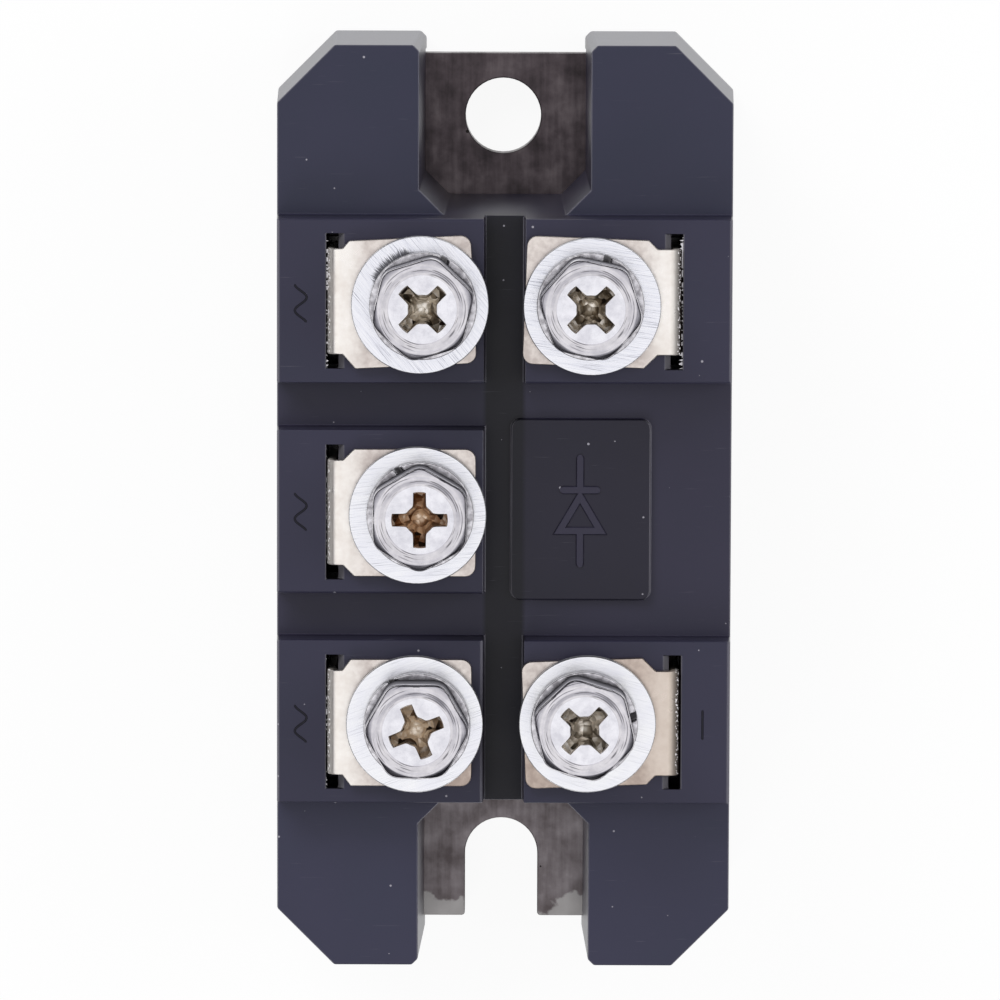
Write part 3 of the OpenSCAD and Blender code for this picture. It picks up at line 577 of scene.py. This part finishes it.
def brightScrew(i):
    # bright zinc over a cold-headed steel screw: near-mirror plating with faint rings from the die and tiny
    # dents, thin and yellow-brown inside the cross recess, where the bath hardly reached, with painted glints
    # on its facets and painted shade on the sides and round the dish
    look = headLook
    finish, add, place = newFinish("bright_screw_" + str(i + 1))
    parts, flat, radius = aboutScrew(add, place, i)
    plating = mottled(add, place, 0.9, {"Detail": 4, "Roughness": 0.6},
                      [(0.32, look["plating"][0]), (0.62, look["plating"][1])])[1]
    within, outside = [add("Math", {0: radius, 1: look["recessR"] * mm}, operation=way)
                       for way in ("LESS_THAN", "GREATER_THAN")]
    # 1 below the dish's floor, and 1 well below the head's top
    depth, low = [add("MapRange", {"Value": parts["Z"], "From": metres(look[fade]), "To": (1, 0)})
                  for fade in ("recessFade", "sideFade")]
    inside = add("Math", {0: within, 1: depth}, operation="MULTIPLY")
    sides = add("Math", {0: low, 1: outside}, operation="MULTIPLY")
    # the punch left the recess in small flat facets, each painted its own tone as a painted reflection, over
    # the real brown stain
    facets = add("TexVoronoi", {"Vector": place, "Scale": 1.3 / mm}).outputs
    tone = add("SeparateColor", {0: facets["Color"]})
    # painted highlight: the facets are painted brighter towards the middle of the recess
    lit = add("MapRange", {"Value": radius, "From": (0, 1.3 * mm), "To": (0.35, 0)})
    toned = add("Math", {0: tone, 1: lit}, operation="ADD")
    stainAndGlint = add("ValToRGB", {0: toned}, stops=[(0.04, look["recessDeep"]), (0.75, look["recess"][i]),
                                               (0.24, look["recessDark"][i])])
    # painted shade: round the dish a greyer ring, crossed by broken dark lines
    heading = add("VectorMath", {0: flat}, operation="NORMALIZE")
    outward = add("Math", {0: radius, 1: look["brokenGap"] * mm}, operation="DIVIDE")
    lifted = add("VectorMath", {0: heading, 1: add("CombineXYZ", {2: outward})}, operation="ADD")
    around = add("TexNoise", {"Vector": lifted, "Scale": 1.0})
    broken = add("MapRange", {"Value": around, "From": (0.57, 0.62), "To": (0, 0.8)})
    zone = add("Math", {0: radius, 1: look["ringR"][0] * mm, 2: look["ringR"][1] * mm}, operation="COMPARE")
    brokenRing = add("Math", {0: zone, 1: broken}, operation="MULTIPLY")
    # painted shade: the hexagon's sides pale from their foot to their top
    climb = add("MapRange", {"Value": parts["Z"], "From": metres(look["flankZ"])})
    flankShade = add("ValToRGB", {0: climb}, stops=[(0.1, look["flankShade"][0]), (0.95, look["flankShade"][1])])
    tint = plating
    for mask, colour, blend in ((zone, look["ring"], "MULTIPLY"), (brokenRing, look["brokenLine"], "MIX"),
                                (inside, stainAndGlint, "MIX"), (sides, flankShade, "MIX")):
        tint = add("Mix", {0: mask, 6: tint, 7: colour}, data_type="RGBA", blend_type=blend)
    rough = add("MapRange", {"Value": inside, "To": (0.15, 0.42)})
    turns = add("Math", {0: radius, 1: 2 * math.pi / (look["turning"] * mm)}, operation="MULTIPLY")
    ring = add("Math", {0: turns}, operation="SINE")
    dent = add("TexNoise", {"Vector": place, "Scale": 2.6 / mm})
    height = add("Math", {0: ring, 1: 0.05, 2: dent}, operation="MULTIPLY_ADD")
    facetBump = add("Bump", {"Strength": inside, "Height": facets["Distance"], "Distance": 0.25 * mm})
    return surfaced(finish, {"Base Color": tint, "Roughness": rough, **dulled(add, sides)}, height, 0.13, 0.012,
                    facetBump)


springLook = {
    "plating": ("#a9a6aa", "#f0eef2"),
    "edge": "#28272b",  # the coil's side, in the head's shade
    "edgeZ": (26.7, 26.9),  # mm, heights between which the side turns into the face
    "edgeShare": 0.8,
    "line": (2, 2, 0.12),  # mm, a drawing line is this thin in height alone
}


def springZinc():
    # zinc over hardened spring steel drawn from square wire: bright, with drawing lines round the coil
    look = springLook
    finish, add, place = newFinish("spring_zinc")
    tint = mottled(add, place, 1.7, {"Detail": 4}, [(0.35, look["plating"][0]), (0.65, look["plating"][1])])[1]
    line = drawnOut(add, place, look["line"], {"Detail": 3})
    return surfaced(finish, {"Roughness": 0.22, **edged(add, place, tint, look)}, line, 0.25, 0.02)


def bakedCopper(name, tints, roughness):
    # rolled copper that has been through the solder oven: patches of brown heat tint and straight rolling lines
    finish, add, place = newFinish(name)
    tint = mottled(add, place, 0.38, {"Detail": 4, "Roughness": 0.6},
                   [(0.3, tints[0]), (0.7, tints[2]), (0.5, tints[1])])[1]
    line = drawnOut(add, place, (0.12, 5, 1), {"Detail": 3})
    return surfaced(finish, {"Metallic": 1, "Base Color": tint, "Roughness": roughness}, line, 0.2, 0.01)


def firedAlumina():
    # pressed and fired alumina sheet: off-white, matt, with a fine grain and sparse grey specks
    finish, add, place = newFinish("fired_alumina")
    grain, tint = mottled(add, place, 5.2, {"Detail": 3}, [(0.35, "#e6e2d8"), (0.6, "#f3f0e9")])
    cells = add("TexVoronoi", {"Vector": place, "Scale": 1.5 / mm})
    speck = add("Math", {0: cells, 1: 0.07}, operation="LESS_THAN")
    tinted = add("Mix", {0: speck, 6: tint, 7: "#b5b0a6"}, data_type="RGBA")
    return surfaced(finish, {"Base Color": tinted, "Roughness": 0.62, "IOR": 1.76}, grain, 0.3, 0.01)


def glassedSilicon():
    # a diode chip: dark polished silicon with a grey passivation glass that shimmers from blue to brown
    finish, add, place = newFinish("glassed_silicon")
    tint = mottled(add, place, 0.24, {"Detail": 3}, [(0.35, "#3f4450"), (0.65, "#5a5560"), (0.5, "#4a4d55")])[1]
    pits = add("TexNoise", {"Vector": place, "Scale": 9 / mm})
    return surfaced(finish, {"Metallic": 0.35, "Base Color": tint, "Roughness": 0.18, "Coat Weight": 0.4}, pits,
                    0.1, 0.005)


def clearGel():
    # soft silicone gel poured over the chips: clear, faintly milky, with small air bubbles
    finish, add, place = newFinish("clear_gel")
    cells = add("TexVoronoi", {"Vector": place, "Scale": 0.42 / mm})
    bubble = add("MapRange", {"Value": cells, "From": (0.06, 0.1)})
    haze = mottled(add, place, 0.09, {"Detail": 2}, [(0.3, "#dfe4ea"), (0.7, "#eef1f4")])[1]
    seen = add("Mix", {0: bubble, 6: "#ffffff", 7: haze}, data_type="RGBA")
    return surfaced(finish, {"Base Color": seen, "Roughness": 0.06, "IOR": 1.41, "Transmission Weight": 0.85},
                    bubble, 0.25, 0.05)


def castEpoxy():
    # black epoxy cast over the gel: glossy, gently rippled where it set, with grey filler in fine specks
    finish, add, place = newFinish("cast_epoxy")
    tint = mottled(add, place, 6, {"Detail": 3, "Roughness": 0.7}, [(0.45, "#24252a"), (0.75, "#4b4c52")])[1]
    ripple = add("TexNoise", {"Vector": place, "Scale": 0.17 / mm})
    return surfaced(finish, {"Base Color": tint, "Roughness": 0.16, "IOR": 1.55}, ripple, 0.35, 0.3)


def nutZinc():
    # barrel-plated steel nut: dull zinc, mottled paler and darker, with a faint bump from the same mottle
    finish, add, place = newFinish("nut_zinc")
    mottle, tint = mottled(add, place, 1.3, {"Detail": 5, "Roughness": 0.65},
                           [(0.3, "#a9adb3"), (0.7, "#d3d6da")])
    rough = add("MapRange", {"Value": mottle, "To": (0.45, 0.25)})
    return surfaced(finish, {"Metallic": 1, "Base Color": tint, "Roughness": rough}, mottle, 0.2, 0.02)


plastic = mouldedPbt()
plateMetal = stainedNickel()
stripMetal = satinNickel()
springMetal = springZinc()
stations = range(len(terminalNames))
washerMetals = [groundZinc(i) for i in stations]
screwMetals = [brightScrew(i) for i in stations]
print("finishes of the outer pieces made")


rounding = {
    "housing": 0.28,  # mm, radius on the decks' outer top edges, which are handled
    "inSlots": 0.45,  # share of that radius in the slots
    "elsewhere": 0.5,  # and on all other edges
    "deckZ": 23.9,  # mm, above which an edge is a deck's
    "slotX": (13.5, 15.9),  # mm from the middle, where the slots lie
    "longEdge": 2.2,  # mm, what is shorter belongs to a corner
    "plate": 0.12,  # mm, and so on for the other pieces
    "strip": 0.12,
    "flatWasher": 0.14,
    "springWasher": 0.12,
    "segments": 3,  # flats that each edge is rounded with
    "sharp": 30,  # degrees, edges that turn more are rounded
    "flat": 0.4,  # degrees, triangles that turn less from each other are joined
    "weld": 0.002,  # mm
}


def roundedCopy(nodeName, pieceName, finish, radius, station=None, weigh=None):
    # the node's triangles, of one station only where a station is given, are welded, its flat stretches joined,
    # and its sharp edges rounded by a bevel, each by its own share of the radius where weigh gives one
    places, corners = nodeArrays(nodeName)
    if station is not None:
        middles = places[corners].mean(axis=1)[:, None, :2] / mm
        nearest = np.linalg.norm(middles - screwPlaces[None, :, :2], axis=2).argmin(axis=1)
        kept, corners = np.unique(corners[nearest == station], return_inverse=True)
        places, corners = places[kept], corners.reshape(-1, 3)
    mesh = bpy.data.meshes.new(pieceName)
    mesh.from_pydata(places, [], corners)
    work = bmesh.new()
    work.from_mesh(mesh)
    bmesh.ops.remove_doubles(work, verts=work.verts, dist=rounding["weld"] * mm)
    bmesh.ops.dissolve_limit(work, angle_limit=math.radians(rounding["flat"]), verts=work.verts,
                             edges=work.edges, delimit={"NORMAL"})
    sharp = math.radians(rounding["sharp"])
    if weigh:
        weights = work.edges.layers.float.new("bevel_weight_edge")
        for side in work.edges:
            if len(side.link_faces) == 2 and side.calc_face_angle() > sharp:
                side[weights] = weigh(side)
    work.to_mesh(mesh)
    work.free()
    mesh.shade_smooth()
    bevel = addPiece(pieceName, mesh, finish, [nodeName]).modifiers.new("roundedEdges", "BEVEL")
    bevel.width = radius * mm
    bevel.segments = rounding["segments"]
    bevel.limit_method = "WEIGHT" if weigh else "ANGLE"
    bevel.angle_limit = sharp
    bevel.use_clamp_overlap = False
    bevel.harden_normals = True


def housingEdge(side):
    # an edge's share of the housing's radius: whole on the decks' long top edges, less in the slots and wells
    start, end = [corner.co / mm for corner in side.verts]
    if (start.z + end.z) / 2 <= rounding["deckZ"] or side.calc_length() <= rounding["longEdge"] * mm:
        return rounding["elsewhere"]
    near, far = rounding["slotX"]
    return rounding["inSlots"] if near < abs(start.x + end.x) / 2 < far else 1.0


roundedCopy("housing", "housing_shell", plastic, rounding["housing"], weigh=housingEdge)
roundedCopy("base_plate", "heat_plate", plateMetal, rounding["plate"])
for i, terminalName in enumerate(terminalNames):
    roundedCopy(terminalName, terminalName + "_strip", stripMetal, rounding["strip"])
    number = str(i + 1)
    roundedCopy("flat_washers", "flat_washer_" + number, washerMetals[i],
                rounding["flatWasher"], station=i)
    roundedCopy("lock_washers", "spring_washer_" + number, springMetal,
                rounding["springWasher"], station=i)
print("rounded copies made")


screw = {
    "flats": 8.0,  # mm, across the hexagon's flats
    "corners": 8.8,  # mm, across its corners, which the header trimmed
    "hexSharp": 46,  # how sharp those corners are
    "seat": 27.1,  # mm, height of the underside of the head
    "under": 0.1,  # mm, radius of its edge
    "top": 30.7,
    "bevel": 30,  # degrees
    "soften": 0.17,  # mm, how far the bevel's lower edge is rounded
    "face": 3.7,  # mm, radius where the bevel meets the top
    "faceEdge": (0.14, 0.12),  # mm that its rounding reaches out over the bevel and in over the top
    "dish": 3.0,  # mm, radius of the dish's floor
    "dishDepth": 0.25,
    "dishRim": ((0.54, 0), (0.48, 0), (0.36, 0.065)),  # mm outside the floor's radius and below the top
    "dishFoot": ((0.12, 0.065), (0, 0), (-0.12, 0)),  # mm outside the floor's radius and above the floor
    "shank": 2.45,
    "tip": 17.1,  # mm, height of the shank's end
    "point": ((1.85, 0), (2.3, 0.45), (2.45, 0.65)),  # mm, radius and height above the tip
    "flare": 0.05,  # mm, where the shank widens under the head
    "crossReach": 2.35,  # mm, from the middle to an arm's end
    "crossHalf": 0.525,  # mm, half an arm's width
    "crossCone": 1.2,  # mm, radius of the cone between the arms
    "armSharp": 30,  # how sharp the arms' corners are
    "coneSharp": 9,  # and the corners between arms and cone
    "crossRim": 0.09,  # mm, radius of the recess's edge
    "crossLip": (0.03, 0.12),  # mm that the edge reaches in and down
    "crossDepth": 2.2,
    "crossFoot": 0.62,  # mm, radius of the recess at its bottom
    "crossEnd": ((0.3, 0.12), (0.02, 0.22)),  # mm, radius and depth below that of the last two rings
    "hexTurns": (17, 30, 0, 48, 43),  # degrees of a corner, in the order of terminalNames
    "crossTurns": (45, 0, 22, 45, 47),
}


def rounded(first, middle, last, steps=5):
    # radii and heights on a rounded corner: (1 - t)^2 first + 2 t (1 - t) middle + t^2 last
    t = np.linspace(0, 1, steps)[:, None]
    return [(1 - t) ** 2 * a + 2 * t * (1 - t) * b + t ** 2 * c for a, b, c in zip(first, middle, last)]


def screwGrid(i, columns=576):
    # rings of places from the shank's tip over the head and down into the cross recess
    angle = np.linspace(0, 2 * math.pi, columns, endpoint=False)
    # hexagon's radius: (sum of (|cos(angle - normal)| / half the flats)^p + (1 / corner radius)^p)^(-1 / p)
    power = screw["hexSharp"]
    total = np.full(columns, 2 / screw["corners"]) ** power
    for k in range(3):
        normal = math.radians(screw["hexTurns"][i] + 30 + 60 * k)
        total += (2 * np.abs(np.cos(angle - normal)) / screw["flats"]) ** power
    outer = total ** (-1 / power)
    # cross's radius: the larger of two bars, each the smaller of reach / |cos| and half / |sin|, and the cone's
    turned = angle - math.radians(screw["crossTurns"][i])
    c, n = np.abs(np.cos(turned)) + 1e-6, np.abs(np.sin(turned)) + 1e-6
    reach, half, sharp = screw["crossReach"], screw["crossHalf"], screw["armSharp"]
    bars = [((a / reach) ** sharp + (b / half) ** sharp) ** (-1 / sharp) for a, b in ((c, n), (n, c))]
    soft = screw["coneSharp"]
    cross = np.minimum((bars[0] ** soft + bars[1] ** soft + screw["crossCone"] ** soft) ** (1 / soft), reach)
    radii, heights = [], []

    def addRings(radius, height):
        shape = np.broadcast(radius, height, angle[None]).shape
        radii.extend(np.broadcast_to(radius, shape))
        heights.extend(np.broadcast_to(height, shape))

    top, seat, face = screw["top"], screw["seat"], screw["face"]
    slope = math.tan(math.radians(screw["bevel"]))

    def bevelZ(radius):
        return top - (radius - face) * slope

    shank, tip, flare, under = screw["shank"], screw["tip"], screw["flare"], screw["under"]
    for radius, height in (*screw["point"], (shank, seat - tip - flare), (shank + flare, seat - tip)):
        addRings(radius, tip + height)
    addRings(outer - 1.5 * under, seat)
    addRings(*rounded((outer - under, seat), (outer, seat), (outer, seat + under), 4))
    cut, (out, inward) = screw["soften"], screw["faceEdge"]
    addRings(*rounded((outer, bevelZ(outer) - cut), (outer, bevelZ(outer)),
                      (outer - cut, bevelZ(outer - cut)), 6))
    addRings(*rounded((face + out, bevelZ(face + out)), (face, top), (face - inward, top)))
    dish, floorZ = screw["dish"], top - screw["dishDepth"]
    addRings(*rounded(*[(dish + out, top - down) for out, down in screw["dishRim"]]))
    addRings(*rounded(*[(dish + out, floorZ + up) for out, up in screw["dishFoot"]]))
    rim, (lip, sill) = screw["crossRim"], screw["crossLip"]
    share = np.linspace(0.25, 0.85, 4)[:, None]
    addRings((dish + screw["dishFoot"][-1][0]) * (1 - share) + (cross + rim) * share, floorZ)
    addRings(*rounded((cross + rim, floorZ), (cross, floorZ), (cross - lip, floorZ - sill)))
    # the walls run in and down to a small circle
    t = np.linspace(0.08, 1, 12)[:, None]
    depth = screw["crossDepth"]
    addRings((cross - lip) * (1 - t) + screw["crossFoot"] * t, floorZ - sill - (depth - sill) * t)
    for radius, below in screw["crossEnd"]:
        addRings(radius, floorZ - depth - below)
    radius, height = np.array(radii), np.array(heights)
    x, y = screwPlaces[i][:2]
    return np.stack([x + radius * np.cos(angle), y + radius * np.sin(angle), height], axis=2)


for i in stations:
    name = "screw_" + str(i + 1)
    mesh = gridMesh(name, screwGrid(i), capEnds=True)
    addPiece(name, mesh, screwMetals[i], ["terminal_screws"])
print("screws turned")


flash = {
    "wallX": 15.34,  # mm from the middle, just inside the slot's outer wall
    "z": 23.82,  # mm, height of its underside
    "rise": 0.04,  # mm, its thickness
    "tints": ("#b4b2b8", "#cfcdd2"),  # at its foot, darker as painted shade, and on top
    "half": 5.7,  # mm, half the length of a slot
    "most": (0.4, 0.24, 0.28, 0.5, 0.06),  # mm that the flash reaches out at most, in each slot
    "least": 0.01,
    "ragged": 0.12,  # mm between its teeth
    "stretches": 9,  # along a slot, in which it comes and goes
    "rows": ((-1, 18), (-1, 0), (-1, -18), (1, 18), (1, -18)),  # side and mm along of each slot
    "seed": 40,
}


def flashGrid(side, row, most, seed):
    # a thin ragged ledge along a slot's outer wall: its reach is a smoothed random row, cut off below
    steps = int(2 * flash["half"] / flash["ragged"]) * 4
    y = np.linspace(-flash["half"], flash["half"], steps)
    random = np.random.default_rng(seed)
    teeth, broad = [np.interp(y, np.linspace(y[0], y[-1], count), random.random(count))
                    for count in (steps // 4, flash["stretches"])]
    reach = most * np.clip(1.5 * (teeth + 0.5 * broad) - 0.7, 0, 1) + flash["least"]
    inner = side * (flash["wallX"] - reach)
    outer = np.full(steps, side * flash["wallX"])
    low, high = flash["z"], flash["z"] + flash["rise"]
    corners = [(outer, low), (inner, low), (inner, high), (outer, high)]
    return np.stack([np.column_stack([x, y + row, np.full(steps, z)]) for x, z in corners], axis=1)


paleFlash = markedPbt("pale_pbt_flash", flash)
for i, (side, row) in enumerate(flash["rows"]):
    name = "slot_flash_" + str(i + 1)
    mesh = gridMesh(name, flashGrid(side, row, flash["most"][i], flash["seed"] + i), capEnds=True)
    mesh.shade_flat()
    addPiece(name, mesh, paleFlash)
print("slots flashed")


signs = {
    "waveX": -17.3,  # mm, middle of each wave sign on the three left decks
    "waveY": (17.79, 0.0, -18.2),
    "waveTall": 3.25,
    "waveWide": 0.5,  # mm, half the swing
    "waveTurns": 1.45,
    "dashX": 17.0,  # mm, middle of the minus sign
    "dashY": -18.2,
    "dashTall": 2.55,
    "foot": 0.1,  # mm, half the width of a stroke at its foot
    "top": 0.04,  # and at its top
    "rise": 0.05,
    "z": 24.0,  # mm, height of the decks
    "tints": ("#07060c", "#12111b"),  # at the foot and on top, both painted dark as shade, darkest at the foot
}
symbol = {
    "x": 6.49,  # mm, middle of the panel's symbol
    "y": -0.1,
    "tall": 10.4,
    "wide": 4.2,
    "triangle": 3.4,  # mm, its height
    "barGap": 0.1,  # mm from the triangle's height to the bar
    "tipGap": 0.45,  # mm that the triangle's own path ends lower, because a corner's stroke reaches out
    "foot": 0.36,
    "top": 0.26,
    "rise": 0.13,
    "step": 0.003,  # mm that the bar stands higher and the leads lower, where they cross
    "z": 21.8,  # mm, height of the panel
    # at the foot, painted dark as shade, and on top
    "tints": ("#0c0b14", "#2b2937"),
}


signSink = 0.03  # mm that each stroke reaches down into the plastic


def strokeGrid(path, look, closed):
    # rows of a raised stroke along a path in mm: a trapezoid section, foot wide below and top wide above, set
    # square to the path; at corners it is wider by 1 / cos(half the turn); open ends close in a half circle
    path, foot, top, rise = np.array(path, float), look["foot"], look["top"], look["rise"]
    ahead = np.roll(path, -1, axis=0) - path
    back = path - np.roll(path, 1, axis=0)
    if not closed:
        ahead[-1], back[0] = back[-1], ahead[0]
    ahead /= np.linalg.norm(ahead, axis=1)[:, None]
    back /= np.linalg.norm(back, axis=1)[:, None]
    way = ahead + back
    way /= np.linalg.norm(way, axis=1)[:, None]
    wider = 1 / np.maximum((way * ahead).sum(axis=1), 0.3)
    square = np.stack([-way[:, 1], way[:, 0]], axis=1) * wider[:, None]
    steps = np.linalg.norm(np.diff(path, axis=0), axis=1)
    run = np.concatenate([[0], np.cumsum(steps)])
    if closed:
        narrow = np.ones(len(path))
    else:
        fromEnd = np.clip(np.minimum(run, run[-1] - run), 0, foot)
        narrow = np.sqrt(np.clip(1 - (1 - fromEnd / foot) ** 2, 0.03, 1))
    section = [(-foot, -signSink), (-foot, 0.0), (-top, rise), (top, rise), (foot, 0.0), (foot, -signSink)]
    return np.stack([np.column_stack([path + square * (offset * narrow)[:, None],
                                      np.full(len(path), look["z"] + height)])
                     for offset, height in section], axis=1)


def addStroke(name, finish, path, look, closed=False):
    mesh = gridMesh(name, strokeGrid(path, look, closed), closeAlong=closed, capEnds=not closed)
    mesh.shade_flat()
    addPiece(name, mesh, finish)


def straight(start, end, ends):
    # a straight path with close steps at both ends, in as many mm as the stroke takes to close in a half circle
    start, end = np.array(start, float), np.array(end, float)
    length = np.linalg.norm(end - start)
    near = ends * (1 - np.cos(np.linspace(0, math.pi / 2, 9)))
    steps = np.concatenate([near, length - near[::-1]]) / length
    return start + (end - start) * steps[:, None]


shadedSignMark = markedPbt("shaded_pbt_sign", signs)
raisedMark = markedPbt("raised_pbt_symbol", symbol)
# wave signs: x = -swing cos(2 pi turns u), y from the top down, u from 0 to 1
u = np.linspace(0, 1, 90)
swing = -signs["waveWide"] * np.cos(2 * math.pi * signs["waveTurns"] * u)
for i, y in enumerate(signs["waveY"]):
    wave = np.column_stack([signs["waveX"] + swing, y + signs["waveTall"] * (0.5 - u)])
    addStroke("wave_sign_" + str(i + 1), shadedSignMark, wave, signs)
x, y, dashHalf = signs["dashX"], signs["dashY"], signs["dashTall"] / 2
addStroke("dash_sign", shadedSignMark, straight((x, y - dashHalf), (x, y + dashHalf), signs["foot"]), signs)

# a plain diode symbol stands along the panel: two leads, a triangle and the bar at its tip
x, y, halfTall, halfWide = symbol["x"], symbol["y"], symbol["tall"] / 2, symbol["wide"] / 2 - symbol["foot"]
halfTri = symbol["triangle"] / 2
barY, foot = y + halfTri + symbol["barGap"], symbol["foot"]
for name, start, end, step in (("lower_lead", (x, y - halfTall + foot), (x, y - halfTri), -symbol["step"]),
                               ("upper_lead", (x, barY), (x, y + halfTall - foot), -symbol["step"]),
                               ("bar", (x - halfWide, barY), (x + halfWide, barY), symbol["step"])):
    look = {**symbol, "rise": symbol["rise"] + step}
    addStroke("symbol_" + name, raisedMark, straight(start, end, foot), look)
triangle = [(x - halfWide, y - halfTri), (x + halfWide, y - halfTri), (x, y + halfTri - symbol["tipGap"])]
addStroke("symbol_triangle", raisedMark, triangle, symbol, closed=True)
print("signs raised")


innerFinishes = {
    "substrate_back_copper": bakedCopper("back_copper", ("#a5653a", "#c47e4c", "#d59462"), 0.32),
    "ceramic_substrate": firedAlumina(),
    "track": bakedCopper("track_copper", ("#b06a3c", "#cd8552", "#e0a173"), 0.24),
    "clip": bakedCopper("clip_copper", ("#b8744a", "#cc8a5e", "#dba27a"), 0.34),
    "bus": bakedCopper("bus_copper", ("#ad6c44", "#c47f52", "#d39a70"), 0.38),
    "diode_chip": glassedSilicon(),
    "silicone_gel": clearGel(),
    "epoxy_fill": castEpoxy(),
    "captive_nuts": nutZinc(),
}
given = 0
for nodeName, node in frame["nodes"].items():
    for part, finish in innerFinishes.items():
        if part in nodeName:
            for slot in node.material_slots:
                slot.material = finish
            given += 1
            break
print("inner nodes given a finish:", given)
